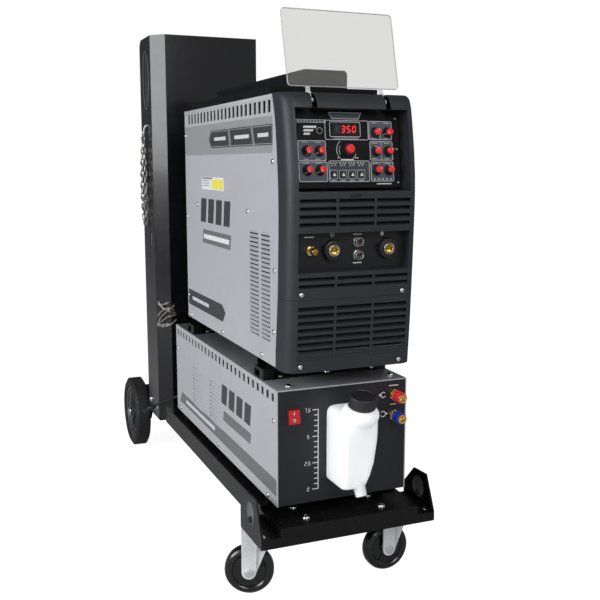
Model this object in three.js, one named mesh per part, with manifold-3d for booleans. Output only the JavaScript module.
// Water-cooled TIG welding set on a bottle trolley: inverter power source on
// top, coolant unit under it, both standing on a four-wheeled cart with a
// channel-shaped gas-bottle rack at the back.
// Millimetres, +Z up, front of the machine towards -Y, +X to the operator's
// right when facing the front panel.  The floor is z = 0.

import * as THREE from 'three';
import { mergeVertices } from 'three/addons/utils/BufferGeometryUtils.js';
import Module from 'manifold-3d';

const wasm = await Module();
wasm.setup();

// ------------------------------------------------------------ driving sizes
// The centre plane of the machine is x = 0 in the design frame; the whole
// group is shifted by ORIGIN so that the row's origin is the middle of the
// footprint box.
const ORIGIN = { x: 4.98, y: -224.778, z: 0 };

const GAP = 0.3;                    // running gap between separate pieces

// cart
const CART = {
  halfWidth: 175.4, frontY: -359.2, padBackY: -245, bottomZ: 146,
  lipZ: 163.7, deckZ: 181, barHalf: 139, railOut: 142, railIn: 102, railTopZ: 189,
  rearY: 470.5,
};
const EAR = {
  outline: [[-359.2, 146], [-359.2, 165], [-330, 228.6], [-283, 226.5], [-245, 187], [-245, 152], [-251, 146]],
  holeY: -301.3, holeZ: 194.4, holeR: 19.8, t: 3,
};

// gas-bottle rack and shelf
const RACK = { half: 151.8, right: 120.7, frontY: 471, backY: 622.3, chamfer: 31.1, topZ: 1136.8, bottomZ: 146, t: 2.5 };
const SHELF = { half: 131, y0: 474.2, y1: 792, z0: 138, z1: 143.5 };

// rear wheels
const REAR = { r: 98.7, width: 43, outX: 178.9, y: 763.7, axleR: 10, sides: 32 };

// castors: swivel positions, wheel and yaw of the fork about the swivel axis
const CASTOR = {
  r: 48, width: 30, trail: 18, axleR: 5, sides: 28, plateZ: 145.7,
  left: { x: -134, y: -228, yaw: 22 }, right: { x: 156, y: -231, yaw: -2 },
};

// coolant unit
const COOLER = { half: 130.8, y0: -321.2, y1: 383, z0: 205.3, z1: 421.4, t: 2 };

// filler neck: middle of the cap's lower rim, and its forward tilt from the vertical
const FILLER = { x: 9, y: -378, z: 393.8, tilt: 14 };

// power source
const WELDER = { half: 122.3, y1: 292.6, z0: 458, z1: 938.5, t: 2 };

// moulded front: front and rear edge of the fascia at each height
const FRONT_Z = [458, 490, 540, 587.7, 640, 700, 740, 770, 800, 840, 877, 900, 919, 930, 935, 939];
const FRONT_Y = [-352, -354.5, -358.5, -361, -363.5, -366, -367.5, -367.8, -366.5, -362, -355.8, -351.5, -347, -342.2, -337, -329];
const REAR_Y = [-298.6, -299.9, -305.5, -310.9, -313.5, -316, -316.5, -315.8, -313.8, -309.3, -304.5, -300, -294.5, -290.5, -288.6, -287];
const FASCIA = { half: 124.5, corner: 24, wall: 3, seamZ: 587.7 };

// control panel plane: centre and tilt from the vertical
const PANEL = { y: -325, z: 843, tiltDeg: 7, halfW: 105.5, halfH: 66, t: 3 };

// flip-up clear cover
const COVER = { axisY: -330, axisZ: 926, tiltDeg: 14.4, w0: 26.6, w1: 164.3, half: 106.5, m0: 7.2, t: 3 };

const DEG = Math.PI / 180;

// ------------------------------------------------------------ solid helpers
function solid(geometry) {
  let g = geometry.clone();
  g.deleteAttribute('normal');
  g.deleteAttribute('uv');
  g = mergeVertices(g, 1e-4);
  return new wasm.Manifold(new wasm.Mesh({
    numProp: 3,
    vertProperties: Float32Array.from(g.attributes.position.array),
    triVerts: Uint32Array.from(g.index.array),
  }));
}
function geometryOf(man) {
  const m = man.getMesh();
  const g = new THREE.BufferGeometry();
  g.setAttribute('position', new THREE.BufferAttribute(Float32Array.from(m.vertProperties), 3));
  g.setIndex(new THREE.BufferAttribute(Uint32Array.from(m.triVerts), 1));
  const flat = g.toNonIndexed();
  flat.computeVertexNormals();
  return flat;
}
const add = (...s) => s.reduce((a, b) => a.add(b));
const cut = (a, ...s) => s.reduce((x, b) => x.subtract(b), a);

function box(x0, x1, y0, y1, z0, z1) {
  const g = new THREE.BoxGeometry(x1 - x0, y1 - y0, z1 - z0);
  g.translate((x0 + x1) / 2, (y0 + y1) / 2, (z0 + z1) / 2);
  return solid(g);
}
// cylinder along X, Y or Z between two stations; r1 at the low end, r2 at the high end
function cyl(axis, c, lo, hi, r1, r2 = r1, sides = 20, turn = 0) {
  const g = new THREE.CylinderGeometry(r2, r1, hi - lo, sides);      // along +Y
  g.rotateY(turn);
  if (axis === 'x') g.rotateZ(-Math.PI / 2);
  if (axis === 'z') g.rotateX(Math.PI / 2);
  const m = (lo + hi) / 2;
  if (axis === 'x') g.translate(m, c[0], c[1]);
  if (axis === 'y') g.translate(c[0], m, c[1]);
  if (axis === 'z') g.translate(c[0], c[1], m);
  return solid(g);
}
function outline(pts) {
  const s = new THREE.Shape();
  pts.forEach(([a, b], i) => (i ? s.lineTo(a, b) : s.moveTo(a, b)));
  s.closePath();
  return s;
}
function roundRect(w, h, r, seg = 3) {
  const pts = [];
  const cs = [[w / 2 - r, h / 2 - r, 0], [-w / 2 + r, h / 2 - r, 90], [-w / 2 + r, -h / 2 + r, 180], [w / 2 - r, -h / 2 + r, 270]];
  for (const [cx, cy, a0] of cs) {
    for (let i = 0; i <= seg; i++) {
      const a = (a0 + 90 * i / seg) * DEG;
      pts.push([cx + r * Math.cos(a), cy + r * Math.sin(a)]);
    }
  }
  return pts;
}
// polygon given in (y, z), extruded along X
function prismX(pts, x0, x1) {
  const g = new THREE.ExtrudeGeometry(outline(pts), { depth: x1 - x0, bevelEnabled: false });
  const m = new THREE.Matrix4().makeBasis(new THREE.Vector3(0, 1, 0), new THREE.Vector3(0, 0, 1), new THREE.Vector3(1, 0, 0));
  g.applyMatrix4(m);
  g.translate(x0, 0, 0);
  return solid(g);
}
// polygon given in (x, z), extruded along Y from y0 to y1
function prismY(pts, y0, y1) {
  const g = new THREE.ExtrudeGeometry(outline(pts.map(([x, z]) => [x, -z])), { depth: y1 - y0, bevelEnabled: false });
  const m = new THREE.Matrix4().makeBasis(new THREE.Vector3(1, 0, 0), new THREE.Vector3(0, 0, -1), new THREE.Vector3(0, 1, 0));
  g.applyMatrix4(m);
  g.translate(0, y0, 0);
  return solid(g);
}
// polygon given in (x, y), extruded along Z
function prismZ(pts, z0, z1) {
  const g = new THREE.ExtrudeGeometry(outline(pts), { depth: z1 - z0, bevelEnabled: false });
  g.translate(0, 0, z0);
  return solid(g);
}
// lathe profile [r, h] about the given axis through the origin
function lathe(profile, sides, axis = 'z', turn = 0) {
  const g = new THREE.LatheGeometry(profile.map(([r, h]) => new THREE.Vector2(r, h)), sides);
  g.rotateY(turn);
  if (axis === 'z') g.rotateX(Math.PI / 2);
  if (axis === 'x') g.rotateZ(-Math.PI / 2);
  return solid(g);
}

// ------------------------------------------------------------ scene helpers
const root = new THREE.Group();
root.name = 'tig_welding_set';
root.position.set(ORIGIN.x, ORIGIN.y, ORIGIN.z);

const PAINT = {
  cartBlack: [0x17181a, 0.42, 0.35], panelGrey: [0xb9b9bd, 0.4, 0.35], darkGrey: [0x3a3c40, 0.5, 0.2],
  plasticBlack: [0x26272a, 0.55, 0.0], rubber: [0x141414, 0.85, 0.0], zinc: [0xb8bcbe, 0.35, 0.9],
  steel: [0x9a9da0, 0.35, 0.9], brass: [0xb5893c, 0.3, 0.9], red: [0xc3141a, 0.35, 0.0], blue: [0x1733a8, 0.35, 0.0],
  white: [0xf1f2f3, 0.4, 0.0], clear: [0xdfe0dc, 0.1, 0.0], aluminium: [0xb9bcbf, 0.4, 0.8], copper: [0x9c6a3c, 0.4, 0.7],
};
function piece(name, man, paint, parent = root) {
  const [color, roughness, metalness] = PAINT[paint];
  const mesh = new THREE.Mesh(geometryOf(man), new THREE.MeshStandardMaterial({ color, roughness, metalness }));
  mesh.name = name;
  if (paint === 'clear') { mesh.material.transparent = true; mesh.material.opacity = 0.4; }
  parent.add(mesh);
  return mesh;
}
function lerp(table, values, z) {
  if (z <= table[0]) return values[0];
  for (let i = 1; i < table.length; i++) {
    if (z <= table[i]) {
      const t = (z - table[i - 1]) / (table[i] - table[i - 1]);
      return values[i - 1] + t * (values[i] - values[i - 1]);
    }
  }
  return values[values.length - 1];
}
const frontAt = (z) => lerp(FRONT_Z, FRONT_Y, z);
const rearAt = (z) => lerp(FRONT_Z, REAR_Y, z);

// =================================================================== CART
{
  const c = CART;
  const pieces = [];
  pieces.push(box(-c.barHalf, c.barHalf, c.frontY + 4, -318, c.bottomZ, c.deckZ));
  let frame = box(-c.barHalf, c.barHalf, c.frontY, -315, c.bottomZ, c.deckZ);
  frame = cut(frame, box(-c.barHalf + 3, c.barHalf - 3, c.frontY + 3, -300, c.bottomZ + 4, c.deckZ - 4));   // folded front beam
  frame = add(frame,
    box(-c.halfWidth, c.halfWidth, c.frontY, c.padBackY, c.bottomZ, c.bottomZ + 4),                          // castor pad
    box(-c.halfWidth, c.halfWidth, c.frontY, c.frontY + 4, c.bottomZ, c.lipZ),                                // front lip
    box(-c.barHalf, c.barHalf, c.frontY, c.rearY, c.deckZ - 4, c.deckZ),                                      // deck sheet
    box(-c.railOut, c.railOut, c.rearY - 5.5, c.rearY, c.bottomZ, c.railTopZ));                               // rear cross plate
  for (const s of [-1, 1]) {
    const x0 = s < 0 ? -c.railOut : c.railIn, x1 = s < 0 ? -c.railIn : c.railOut;
    let rail = box(x0, x1, -318, c.rearY, c.bottomZ, c.railTopZ);                                             // C-section rail, open inwards
    rail = cut(rail, box(x0 - 1, x1 + 1, -320, -262, c.deckZ, c.railTopZ + 1));                                // its top steps down to the deck in front
    rail = cut(rail, s < 0 ? box(x0 + 3, x1 + 1, -330, c.rearY - 5, c.bottomZ + 3, c.railTopZ - 3)
                           : box(x0 - 1, x1 - 3, -330, c.rearY - 5, c.bottomZ + 3, c.railTopZ - 3));
    const e0 = s < 0 ? -c.halfWidth : c.halfWidth - EAR.t, e1 = s < 0 ? -c.halfWidth + EAR.t : c.halfWidth;
    let ear = prismX(EAR.outline, e0, e1);
    ear = cut(ear, cyl('x', [EAR.holeY, EAR.holeZ], e0 - 1, e0 + 0.9, EAR.holeR, EAR.holeR, 24),
      cyl('x', [EAR.holeY, EAR.holeZ], e1 - 0.9, e1 + 1, EAR.holeR, EAR.holeR, 24));                            // round dish pressed in both faces
    const g0 = s < 0 ? -c.halfWidth : c.barHalf - 3, g1 = s < 0 ? -c.barHalf + 3 : c.halfWidth;
    const pad = box(g0, g1, c.frontY, c.padBackY, c.lipZ - 3, c.lipZ);                                        // top of the end pad
    const web = s < 0 ? box(-c.barHalf, -c.barHalf + 3, c.frontY, c.padBackY, c.bottomZ, c.deckZ)
                      : box(c.barHalf - 3, c.barHalf, c.frontY, c.padBackY, c.bottomZ, c.deckZ);
    frame = add(frame, rail, ear, pad, web);
  }
  piece('cart_frame', frame, 'cartBlack');
}

// ------------------------------------------------ gas-bottle rack and shelf
{
  const r = RACK, t = r.t, ch = r.chamfer, k = t * Math.tan(22.5 * DEG);
  // left wall and corner flat, front wall, right wall folded straight back
  const outer = [[-r.half, r.backY], [-r.half, r.frontY + ch], [-r.half + ch, r.frontY], [r.right - 4, r.frontY], [r.right - 1.2, r.frontY + 1.2], [r.right, r.frontY + 4], [r.right, r.backY]];
  const inner = [[r.right - t, r.backY], [r.right - t, r.frontY + 4.5], [r.right - 4.5, r.frontY + t], [-r.half + ch + k, r.frontY + t], [-r.half + t, r.frontY + ch + k], [-r.half + t, r.backY]];
  let rack = prismZ([...outer, ...inner], r.bottomZ, r.topZ);
  // rounded top rear corners of both side walls
  const R = 22, pts = [[r.backY + 1, r.topZ + 1], [r.backY + 1, r.topZ - R]];
  for (let i = 0; i <= 4; i++) pts.push([r.backY - R + R * Math.cos(i * 22.5 * DEG), r.topZ - R + R * Math.sin(i * 22.5 * DEG)]);
  pts.push([r.backY - R, r.topZ + 1]);
  rack = cut(rack, prismX(pts, -r.half - 1, r.half + 1));
  for (const s of [-1, 1]) {
    const face = s < 0 ? -r.half : r.right;                                     // outer face of the wall
    const slot = (yc, zc, w, h, deep) => prismX(roundRect(w, h, w / 2 - 0.01, 4).map(([a, b]) => [a + yc, b + zc]),
      s < 0 ? face - 1 : face - deep, s < 0 ? face + deep : face + 1);
    rack = cut(rack, slot(546, 1033, 26, 142, 1.1),       // long oval dish pressed in the wall
      slot(555, 913, 12, 16, 5),                          // chain hook hole
      slot(544, 622, 12, 44, 5), slot(552, 579, 12, 12, 5));    // lower chain slot and bolt hole
  }
  // folded stiffening lips on the rear edges
  rack = add(rack, box(-r.half, -r.half + 16, r.backY - 2.5, r.backY, r.bottomZ, r.topZ - R - 2),
    box(r.right - 16, r.right, r.backY - 2.5, r.backY, r.bottomZ, r.topZ - R - 2));
  piece('bottle_rack', rack, 'cartBlack');

  const f = SHELF;
  let shelf = box(-f.half, f.half, f.y0, f.y1, f.z0, f.z1);
  for (const s of [-1, 1]) {
    const xa = s < 0 ? -RACK.half + RACK.t + 0.4 : RACK.right - RACK.t - 3.9, xb = xa + 3.5;
    shelf = add(shelf, box(xa, xb, 508, 618, f.z0, 190));                                       // bolting flange inside the rack wall
    if (s < 0) shelf = add(shelf, box(xa, -f.half + 1, 508, 618, f.z0, f.z1));
    const ba = s < 0 ? -126 : 121, bb = ba + 5;                                                   // axle bracket
    let br = prismX([[690, f.z0 + 1], [735, 78], [792, 78], [792, f.z0 + 1]], ba, bb);
    br = cut(br, cyl('x', [REAR.y, REAR.r], ba - 2, bb + 2, REAR.axleR + 0.45, REAR.axleR + 0.45, 16));
    shelf = add(shelf, br);
  }
  shelf = add(shelf, box(-f.half, f.half, f.y1 - 4, f.y1, f.z0, 168));                            // rear kerb that keeps the bottle on
  piece('bottle_shelf', shelf, 'cartBlack');
}

// --------------------------------------------------------- rear axle, wheels
{
  const w = REAR, n = w.sides, half = w.width / 2, k = 1 / Math.cos(Math.PI / n);
  piece('rear_axle', add(
    cyl('x', [w.y, w.r], -w.outX - 3, w.outX + 3, w.axleR, w.axleR, 16),
    cyl('x', [w.y, w.r], w.outX - w.width - 5, w.outX - w.width - 0.8, 14, 14, 16),
    cyl('x', [w.y, w.r], -w.outX + w.width + 0.8, -w.outX + w.width + 5, 14, 14, 16)), 'steel');
  const profile = [
    [w.axleR + 0.6, -half], [18, -half], [20, -10], [55, -10], [62, -half + 6], [74, -half + 1], [90, -half + 1], [97 * k, -half + 8],
    [w.r * k, -half + 16], [w.r * k, half - 16], [97 * k, half - 8], [90, half - 1], [74, half - 1], [62, half - 6], [55, 10], [20, 10], [18, half], [w.axleR + 0.6, half], [w.axleR + 0.6, -half],
  ];
  for (const s of [-1, 1]) {
    const m = piece(s < 0 ? 'rear_wheel_left' : 'rear_wheel_right', lathe(profile, n, 'x', Math.PI / n), 'rubber');
    m.position.set(s * (w.outX - half), w.y, w.r);
  }
}

// ------------------------------------------------------------------ castors
{
  const c = CASTOR;
  for (const side of ['left', 'right']) {
    const p = c[side], n = c.sides, k = 1 / Math.cos(Math.PI / n);
    const x1 = side === 'left' ? p.x + 36 : p.x + 16, x0 = side === 'left' ? p.x - 16 : p.x - 36;
    // top plate with the upper ball race, bolted to the cart's pad
    piece(`castor_plate_${side}`, add(
      box(x0, x1, p.y - 46, p.y + 28, c.plateZ - 3, c.plateZ),
      cyl('z', [p.x, p.y], c.plateZ - 9, c.plateZ - 2, 27, 27, 24)), 'zinc');
    // swivel fork, built with the trail along local -X and turned by yaw
    const swivel = new THREE.Group();
    swivel.position.set(p.x, p.y, 0);
    swivel.rotation.z = -p.yaw * DEG;
    root.add(swivel);
    const top = c.plateZ - 9 - GAP, a = c.width / 2 + 2.2;
    const prof = [];
    prof.push([-32, top - 6], [-32, c.r + 2]);
    for (let i = 0; i <= 6; i++) {
      const t = (180 + i * 25) * DEG;
      prof.push([-c.trail + 14 * Math.cos(t), c.r + 14 * Math.sin(t)]);
    }
    prof.push([-c.trail + 15, c.r + 2], [29, top - 10], [29, top - 6]);
    let fork = cyl('z', [0, 0], top - 8, top, 31.5, 29, 24);
    for (const s of [-1, 1]) {
      const y0 = s < 0 ? -a - 3 : a;
      fork = add(fork, prismY(prof, y0, y0 + 3));
    }
    fork = add(fork, box(-32, 29, -a - 3, a + 3, top - 9, top - 5));
    fork = add(fork, cyl('y', [-c.trail, c.r], -a - 7, a + 7, c.axleR, c.axleR, 14));
    fork = add(fork, cyl('y', [-c.trail, c.r], -a - 7, -a - 2.5, 8, 8, 6), cyl('y', [-c.trail, c.r], a + 2.5, a + 8, 8, 8, 6));
    piece(`castor_fork_${side}`, fork, 'zinc', swivel);
    const h = c.width / 2, r = c.r;
    const wheel = lathe([
      [c.axleR + 0.6, -h], [14, -h], [16, -h + 5], [33, -h + 5], [37, -h + 1], [44, -h + 2], [r * k, -h + 9], [r * k, h - 9],
      [44, h - 2], [37, h - 1], [33, h - 5], [16, h - 5], [14, h], [c.axleR + 0.6, h], [c.axleR + 0.6, -h],
    ], n, 'y', Math.PI / n);
    const wm = piece(`castor_wheel_${side}`, wheel, 'rubber', swivel);
    wm.position.set(-c.trail, 0, c.r);
  }
}

// ------------------------------------------------------- bunched bottle chain
{
  const x = -RACK.half - 0.4;
  const pts = [[566, 905], [571, 905], [586, 880], [600, 800], [604, 720], [596, 665], [578, 655], [560, 668], [548, 740], [546, 830], [556, 885]];
  piece('bottle_chain', prismX(pts, x - 12, x), 'zinc');
}

// ------------------------------------------------- lower bottle chain, bunched
{
  const r = RACK, pts = [[-34, 396], [-37, 405], [-31, 425], [-33, 445], [-24, 462], [-4, 466], [10, 455], [4, 430], [8, 408], [-6, 396]];
  const m = prismY(pts, 0, 11);
  // hangs in front of the corner flat, parallel to it
  piece('lower_chain', m.rotate([0, 0, -22]).translate([-119.6, 457.4, 0]), 'zinc');
}

// ================================================================= COOLER
{
  const c = COOLER, t = c.t;
  let cover = box(-c.half, c.half, c.y0, c.y1, c.z0, c.z1);
  cover = cut(cover, box(-c.half + t, c.half - t, c.y0 - 1, c.y1 + 1, c.z0 - 1, c.z1 - t));
  for (let i = 0; i < 26; i++) {
    const y = -300 + i * 26.6;
    cover = cut(cover, box(-c.half - 1, c.half + 1, y - 6, y + 6, 398, 413));
  }
  piece('cooler_cover', cover, 'panelGrey');

  // bottom tray with feet, bent-up rear panel and the lead's gland
  const i = c.half - t - 0.4;
  let tray = add(
    box(-i, i, c.y0 + 4, c.y1 - 1, c.z0 + 0.3, c.z0 + 3),
    box(-i, i, c.y1 - 3.4, c.y1 - 0.9, c.z0 + 0.3, c.z1 - t - 0.4));
  for (const [x, y] of [[-115, -240], [115, -240], [-115, 345], [115, 345]]) tray = add(tray, cyl('z', [x, y], CART.railTopZ + 0.1, c.z0 + 1, 10, 12, 14));
  tray = cut(tray, cyl('y', [20, 315], c.y1 - 6, c.y1 + 2, 72, 72, 28));                    // fan opening
  tray = add(tray, box(-54, 94, c.y1 - 3.4, c.y1 - 0.9, 312, 318), box(17, 23, c.y1 - 3.4, c.y1 - 0.9, 241, 389));
  tray = add(tray, cyl('y', [-98, 232], c.y1 - 2, c.y1 + 12, 7.5, 6, 12));
  tray = cut(tray, cyl('y', [-98, 232], c.y1 + 6, c.y1 + 20, 3.2, 3.2, 12));
  piece('cooler_tray', tray, 'cartBlack');

  // black front panel with the openings for switch and couplings
  let front = box(-i, i, c.y0 + 0.8, c.y0 + 3.3, c.z0 + 0.3, c.z1 - t - 0.4);
  front = cut(front, box(-110.2, -86.8, c.y0 - 2, c.y0 + 6, 355.8, 386.2));
  for (const z of [392, 353]) front = cut(front, cyl('y', [104, z], c.y0 - 2, c.y0 + 6, 8.4, 8.4, 12));
  piece('cooler_front_panel', front, 'cartBlack');

  // internals
  piece('coolant_tank', add(box(-60, 110, -300, -60, 212, 385), cyl('z', [20, -120], 384, 396, 24, 24, 16)), 'white');
  piece('coolant_pump', add(
    cyl('y', [-60, 260], 0, 90, 42, 42, 20), cyl('y', [-60, 260], 89, 112, 30, 30, 20), cyl('z', [-60, 100], 288, 318, 8, 8, 10),
    box(-95, -25, 10, 80, 209, 226)), 'steel');
  {
    let rad = box(-65, 105, 262, 322, 225, 398);
    for (let k2 = 0; k2 < 9; k2++) rad = cut(rad, box(-57, 97, 260, 276, 234 + k2 * 18, 244 + k2 * 18));
    piece('radiator', rad, 'aluminium');
  }
  {
    let rotor = cyl('y', [0, 0], -12, 12, 22, 22, 18);
    for (let b = 0; b < 5; b++) {
      const g = new THREE.BoxGeometry(52, 2.4, 30);
      g.rotateX(35 * DEG);
      g.translate(41, 0, 0);
      g.rotateY(b * 72 * DEG);
      rotor = rotor.add(solid(g));
    }
    const m = piece('cooler_fan', rotor, 'plasticBlack');
    m.position.set(20, 350, 315);
  }

  // mains rocker
  {
    const pts = [[-4.5, -13.4], [-7.2, -11], [-2.2, 12.6], [0.5, 13.4], [8, 9], [9.5, 0], [8, -9]];
    const m = piece('rocker_switch', prismX(pts, -10.6, 10.6), 'red');
    m.position.set(-98.5, c.y0 + 0.5, 371);
  }

  // moulded coolant filler bottle with its drain nozzle
  {
    const y0 = c.y0 + 0.4, yf = -392.6, f = FILLER;
    const place = (g) => {                                   // local Y = axis of neck and cap
      g.rotateX((90 + f.tilt) * DEG);
      g.translate(f.x, f.y, f.z);
      return solid(g);
    };
    // front view outline, tapering to the right towards the bottom
    const body = prismY([[-33.7, 252], [-33.7, 374], [-25, 384], [32, 384], [39.5, 374], [37, 345], [15, 252], [8, 246], [-27, 246]], yf, y0);
    // the front swells under the neck
    const swell = prismX([[yf + 1, 340], [-400, 362], [-408.5, 382], [-408.5, 386], [-360, 388], [-360, 340]], -20, 30);
    const dome = new THREE.CylinderGeometry(27, 36, 16, 26);
    dome.translate(-3, -8.4, 4);
    let bottle = add(body, swell, place(dome));
    const above = new THREE.BoxGeometry(200, 80, 200);
    above.translate(0, 39.6, 0);
    bottle = cut(bottle, place(above));
    const n2 = new THREE.CylinderGeometry(13, 10, 32, 14);
    n2.rotateX(70 * DEG);
    n2.translate(2, -385, 246);
    bottle = bottle.add(solid(n2));
    bottle = cut(bottle, box(-60, 60, y0, y0 + 60, 200, 460));
    piece('filler_bottle', bottle, 'white');
    const cap = new THREE.Group();
    cap.position.set(f.x, f.y, f.z);
    cap.rotation.x = (90 + f.tilt) * DEG;
    root.add(cap);
    const prof = [[0, 0], [24.6, 0], [25.2, 1.5], [25.2, 20], [23.2, 23], [0, 23]];
    const lc = new THREE.LatheGeometry(prof.map(([r, h]) => new THREE.Vector2(r, h)), 24);
    piece('filler_cap', solid(lc), 'plasticBlack', cap);
  }

  // quick couplings: brass body with a sprung sleeve
  for (const [name, z, tint] of [['red', 392, 'red'], ['blue', 353, 'blue']]) {
    const y = c.y0;
    const hex = cyl('y', [104, z], y - 5.5, y + 0.5, 11, 11, 6, Math.PI / 6);
    const hexBack = cyl('y', [104, z], y + 3.7, y + 9, 11, 11, 6, Math.PI / 6);
    const bodyC = add(hex, hexBack, cyl('y', [104, z], y - 33, y + 20, 7.2, 7.2, 16), cyl('y', [104, z], y - 36, y - 31.5, 8.6, 8.6, 16));
    piece(`${name}_coupling`, cut(bodyC, cyl('y', [104, z], y - 40, y - 18, 4, 4, 12)), 'brass');
    const sleeve = cut(cyl('y', [104, z], y - 31, y - 13, 11, 11, 20), cyl('y', [104, z], y - 40, y + 4, 7.7, 7.7, 16));
    piece(`${name}_collar`, sleeve, tint);
  }

  // black mounting frame that carries the power source
  {
    const z = c.z1 + GAP, zt = WELDER.z0 - GAP;
    // a channel across the width with a foot flange, and a notched clamp block at each end
    const saddle = (y0b, y1b, flange) => {
      let m = add(box(-112, 112, y0b, y1b, z, z + 3), box(-112, 112, y0b, y0b + 3, z, zt), box(-112, 112, y1b - 3, y1b, z, zt),
        box(-112, -88, y0b, y1b, zt - 3, zt), box(88, 112, y0b, y1b, zt - 3, zt), box(-112, 112, y0b - flange, y0b + 1, z, z + 3));
      for (const s of [-1, 1]) {
        const side = (u0, u1, v0, v1, w0, w1) => (s < 0 ? box(-u1, -u0, v0, v1, w0, w1) : box(u0, u1, v0, v1, w0, w1));
        const f = y0b - 19;
        m = add(m, side(106, 127.5, f, f + 55, z, z + 21));
        m = cut(m, side(118, 128, f + 21, f + 46, z + 3, z + 15.5), side(105, 128, f + 46, f + 56, z + 14, z + 22));
      }
      return m;
    };
    const frame = add(saddle(-224, -166, 16), saddle(252, 288, 16), box(-52, -40, -180, 270, z, z + 3), box(40, 52, -180, 270, z, z + 3));
    piece('mounting_frame', frame, 'cartBlack');
  }
}

// ================================================================= WELDER
{
  const w = WELDER, t = w.t;
  // chassis: base pan and rear panel in one bent sheet
  const i = w.half - t - 0.4;
  let chassis = add(
    box(-i, i, -286, w.y1 - 0.3, w.z0 + 0.3, w.z0 + 3),
    box(-i, i, w.y1 - 3, w.y1 - 0.3, w.z0 + 0.3, 934.6));
  chassis = cut(chassis, cyl('y', [0, 700], w.y1 - 6, w.y1 + 2, 78, 78, 32));
  chassis = add(chassis, box(-80, 80, w.y1 - 3, w.y1 - 0.3, 697, 703), box(-3, 3, w.y1 - 3, w.y1 - 0.3, 620, 780));
  chassis = add(chassis, cyl('y', [-70, 545], w.y1 - 2, w.y1 + 16, 16, 14, 16));     // mains lead gland
  chassis = cut(chassis, cyl('y', [-70, 545], w.y1 + 6, w.y1 + 20, 8, 8, 12));
  chassis = add(chassis, cyl('y', [60, 545], w.y1 - 2, w.y1 + 10, 9, 9, 6), cyl('y', [60, 545], w.y1 + 9, w.y1 + 26, 5, 4, 12));   // gas inlet
  piece('welder_chassis', chassis, 'cartBlack');

  // side panels with a row of vents under the top edge
  const zs = [458, 490, 540, 587.7, 640, 700, 770, 840, 877, 900, 919, 938.5];
  const edge = zs.map((z) => [rearAt(z) + 0.4, z]);
  const sheet = [...edge, [w.y1 - 0.2, w.z1], [w.y1 - 0.2, w.z0]].reverse();
  for (const s of [-1, 1]) {
    const x0 = s < 0 ? -w.half : w.half - t, x1 = x0 + t;
    let side = prismX(sheet, x0, x1);
    for (let k = 0; k < 22; k++) {
      const y = -267 + k * 24.9;
      side = cut(side, box(x0 - 1, x1 + 1, y - 7, y + 7, 908, 929));
    }
    piece(s < 0 ? 'left_side_panel' : 'right_side_panel', side, 'panelGrey');
  }

  // top cover with its raised platform, and the spine on top of it
  let top = add(box(-i, i, -286, w.y1 - 0.3, 935, 938), box(-108, 108, -231, 285, 937, 956));
  top = cut(top, box(-105.5, 105.5, -228.5, 282.5, 930, 953.5));
  {
    const prof = [[-45, 955], [-45, 983], [-40, 988], [40, 988], [45, 983], [45, 955]];
    let spine = prismY(prof, -231, 285);
    spine = cut(spine, box(-42, 42, -228, 282, 950, 985));
    top = cut(top, box(-42, 42, -228, 282, 950, 960)).add(spine);
  }
  piece('top_cover', top, 'plasticBlack');

  // inverter block and cooling fan
  {
    let inv = add(box(-85, 85, -200, 190, 466, 486), box(-85, 85, -200, 190, 560, 566));
    for (let k = 0; k < 7; k++) inv = add(inv, box(-81 + k * 26, -75 + k * 26, -200, 190, 485, 561));
    inv = add(inv, box(-60, 60, -150, 20, 565, 660), box(-70, 70, 60, 150, 565, 700));
    piece('inverter_module', inv, 'aluminium');
    let rotor = cyl('y', [0, 0], -12, 12, 24, 24, 18);
    for (let b = 0; b < 7; b++) {
      const g = new THREE.BoxGeometry(52, 2.4, 26);
      g.rotateX(35 * DEG);
      g.translate(46, 0, 0);
      g.rotateY(b * 360 / 7 * DEG);
      rotor = rotor.add(solid(g));
    }
    const m = piece('welder_fan', rotor, 'plasticBlack');
    m.position.set(0, 262, 700);
  }
}

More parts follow.
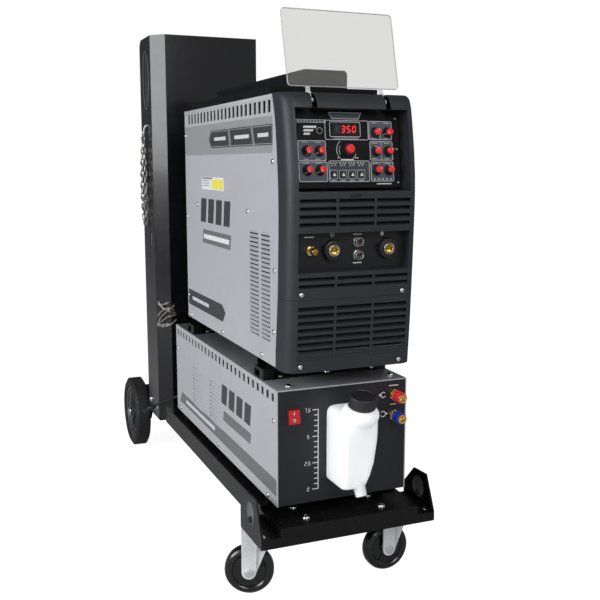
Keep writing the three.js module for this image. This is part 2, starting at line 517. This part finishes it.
// ------------------------------------------------------------ moulded front
function fasciaBlock(z0, z1, inset, openBack) {
  const f = FASCIA, hw = f.half - inset, r = f.corner - inset, seg = 5;
  // plan outline, front at y = 0, rear at y = 1000 (moved to its real place below)
  const pts = [];
  for (let i = 0; i <= seg; i++) {
    const a = (180 + 90 * i / seg) * DEG;
    pts.push([-hw + r + r * Math.cos(a), r + r * Math.sin(a)]);
  }
  for (let i = 0; i <= seg; i++) {
    const a = (270 + 90 * i / seg) * DEG;
    pts.push([hw - r + r * Math.cos(a), r + r * Math.sin(a)]);
  }
  pts.push([hw, 1000], [-hw, 1000]);
  const levels = [z0, ...FRONT_Z.filter((z) => z > z0 + 1 && z < z1 - 1), z1];
  const g = new THREE.ExtrudeGeometry(outline(pts), { depth: 1, steps: levels.length - 1, bevelEnabled: false });
  const p = g.attributes.position;
  for (let i = 0; i < p.count; i++) {
    const k = Math.round(p.getZ(i) * (levels.length - 1));
    const z = levels[k], y = p.getY(i);
    p.setZ(i, z);
    p.setY(i, y > 500 ? (openBack ? rearAt(z) + 12 : rearAt(z)) : frontAt(z) + inset + y);
  }
  return solid(g);
}
{
  const f = FASCIA, s = f.seamZ;
  const slotRow = (man, z, h, cols) => cols.reduce((m, [a, b]) => cut(m, box(a, b, -380, -352, z - h / 2, z + h / 2)), man);
  const COLS = [[-105.5, -38], [-33, 35], [39.5, 106]];

  // upper part
  let up = cut(fasciaBlock(s + 0.2, 939, 0, false), fasciaBlock(s + 3, 936, f.wall, true));
  const well = (x, z0, z1, y1) => fasciaBlock(s + 0.2, 939, 0, false).intersect(box(-x, x, -400, y1, z0, z1));
  up = add(up, well(110, 769.5, 915.5, -312), well(110, 631, 706, -340));
  up = cut(up, box(-107, 107, -400, -300, 772.5, 912.5));                   // control well, open at the back for the panel
  up = cut(up, box(-107, 107, -400, -343.5, 634.5, 702.5));                 // socket well
  for (const [x, z, r] of [[-77, 671, 6.4], [-36.5, 671, 14.5], [70.5, 671, 14.5], [15, 684, 8.4], [15, 660, 8.4]])
    up = cut(up, cyl('y', [x, z], -345, -335, r, r, 14));
  for (let k = 0; k < 4; k++) up = slotRow(up, 757 - k * 13.4, 6.4, COLS);
  for (let k = 0; k < 2; k++) up = slotRow(up, 623.5 - k * 12.5, 6, COLS);
  for (const x of [-70, 70]) up = cut(up, box(x - 4.9, x + 4.9, -380, -311, 908, 945));    // slots for the cover's arms
  piece('upper_fascia', up, 'plasticBlack');

  // lower part
  let low = cut(fasciaBlock(458, s - 0.2, 0, false), fasciaBlock(461, s - 3, f.wall, true));
  for (let k = 0; k < 8; k++) low = slotRow(low, 571.5 - k * 12.6, 7, COLS);
  piece('lower_fascia', low, 'plasticBlack');
}

// ------------------------------------------------------------ control panel
const deck = new THREE.Group();
deck.position.set(0, PANEL.y, PANEL.z);
// local X = across, local Y = up the panel, local Z = out of the panel
deck.rotation.x = (90 - PANEL.tiltDeg) * DEG;
root.add(deck);
const KNOBS = [
  ['knob_l1', -76, -2], ['knob_l2', -52, -2], ['knob_l3', -76, -35], ['knob_l4', -52, -35],
  ['knob_r1', 57, 31], ['knob_r2', 81, 31], ['knob_r3', 57, -2], ['knob_r4', 81, -2], ['knob_r5', 57, -35], ['knob_r6', 81, -35],
];
const BUTTONS = [['button_1', -26.4], ['button_2', -8.8], ['button_3', 8.8], ['button_4', 26.4]];
const BUTTON_V = -42.5;
{
  const p = PANEL;
  let plate = box(-p.halfW, p.halfW, -p.halfH, p.halfH, -p.t, 0);
  for (const [, u, v] of KNOBS) plate = cut(plate, cyl('z', [u, v], -p.t - 1, 1, 3.5, 3.5, 10));
  plate = cut(plate, cyl('z', [0, 0], -p.t - 1, 1, 4, 4, 12));
  for (const [, u] of BUTTONS) plate = cut(plate, box(u - 5.3, u + 5.3, BUTTON_V - 5.3, BUTTON_V + 5.3, -p.t - 1, 1));
  piece('control_panel', plate, 'darkGrey', deck);
  const knobProfile = [[0, -6], [2.9, -6], [2.9, 0.5], [8, 0.5], [7.6, 9], [7.2, 9.3], [7.2, 14], [6.2, 15], [0, 15]];
  for (const [name, u, v] of KNOBS) {
    const m = piece(name, lathe(knobProfile, 14, 'z'), 'red', deck);
    m.position.set(u, v, 0);
  }
  const big = [[0, -7], [3.4, -7], [3.4, 0.6], [11, 0.6], [10.4, 12], [9.6, 12.4], [9.4, 18.5], [8, 20], [0, 20]];
  piece('main_knob', lathe(big, 18, 'z'), 'red', deck);
  for (const [name, u] of BUTTONS) {
    const m = piece(name, box(-4.9, 4.9, -4.9, 4.9, -5, 3), 'plasticBlack', deck);
    m.position.set(u, BUTTON_V, 0);
  }
}

// ------------------------------------------------------- sockets of the well
{
  const y = -343.5;
  for (const [name, x] of [['negative_socket', -36.5], ['positive_socket', 70.5]]) {
    let s = add(cyl('y', [x, 671], y - 12, y - 0.3, 17, 19, 24), cyl('y', [x, 671], y - 1, y + 20, 14, 14, 14), cyl('y', [x, 671], y - 15, y - 11, 11, 11, 20));
    s = cut(s, cyl('y', [x, 671], y - 20, y + 12, 6.8, 6.8, 14));
    piece(name, s, 'brass');
  }
  piece('gas_outlet', add(cyl('y', [-77, 671], y - 6, y - 0.3, 9, 9, 6), cyl('y', [-77, 671], y - 22, y + 14, 5.8, 5.8, 12), cyl('y', [-77, 671], y - 24, y - 17, 6.6, 6.6, 12)), 'brass');
  let c = box(6, 24, y + 4.2, y + 7.2, 650, 694);
  for (const z of [684, 660]) c = add(c, cyl('y', [15, z], y - 9, y - 0.3, 9, 9, 18), cyl('y', [15, z], y - 1, y + 5, 7.9, 7.9, 14));
  piece('control_sockets', c, 'steel');
}

// ------------------------------------------------------- flip-up clear cover
{
  const c = COVER, hinge = new THREE.Group();
  hinge.position.set(0, c.axisY, c.axisZ);
  // local X = hinge line, local Z = along the sheet, local Y = behind the sheet
  hinge.rotation.x = -c.tiltDeg * DEG;
  root.add(hinge);
  const pts = roundRect(2 * c.half, c.w1 - c.w0, 7, 3).map(([a, b]) => [a, b + (c.w0 + c.w1) / 2]);
  let sheet = prismY(pts, c.m0, c.m0 + c.t);
  for (const x of [-70, 70]) {
    sheet = add(sheet,
      box(x - 4, x + 4, c.m0, c.m0 + c.t, -3, c.w0 + 4),
      box(x - 4, x + 4, 0, c.m0 + c.t, -3, 3),
      cyl('x', [0, 0], x - 4, x + 4, 3.2, 3.2, 14));
  }
  piece('clear_cover', sheet, 'clear', hinge);
}

// --------------------------------------------------- control lead and its plug
{
  const path = [[-98, 391.5, 232], [-98, 399, 232], [-99, 408, 231.2], [-102, 418, 229], [-107, 427, 225.6], [-113.5, 435.5, 221.4],
    [-120.6, 443.6, 216.8], [-128, 451.6, 212], [-135.4, 460, 207], [-142.2, 469, 202], [-147.8, 478.6, 196.8], [-152.2, 488.4, 191.6], [-155.6, 497.6, 186.8], [-158.4, 505.6, 182.4]];
  const curve = new THREE.CatmullRomCurve3(path.map((p) => new THREE.Vector3(...p)));
  const n = 8, r = 2.5;
  const ring = [];
  for (let i = 0; i < n; i++) ring.push([r * Math.cos((i + 0.5) * 2 * Math.PI / n), r * Math.sin((i + 0.5) * 2 * Math.PI / n)]);
  piece('control_lead', solid(new THREE.ExtrudeGeometry(outline(ring), { steps: 18, bevelEnabled: false, extrudePath: curve })), 'rubber');
  const a = new THREE.Vector3(...path[path.length - 1]);
  const d = new THREE.Vector3(-25.4, 37.5, -22.2).normalize();
  const g = new THREE.LatheGeometry([[0, 1.1], [3.2, 1.1], [5.4, 12], [6.4, 14], [6.4, 44], [5.4, 46], [5.4, 52], [0, 52]].map(([r2, h]) => new THREE.Vector2(r2, h)), 14);
  const plug = piece('lead_plug', solid(g), 'plasticBlack');
  plug.quaternion.setFromUnitVectors(new THREE.Vector3(0, 1, 0), d);
  plug.position.copy(a);
}

root.updateMatrixWorld(true);
export default root;
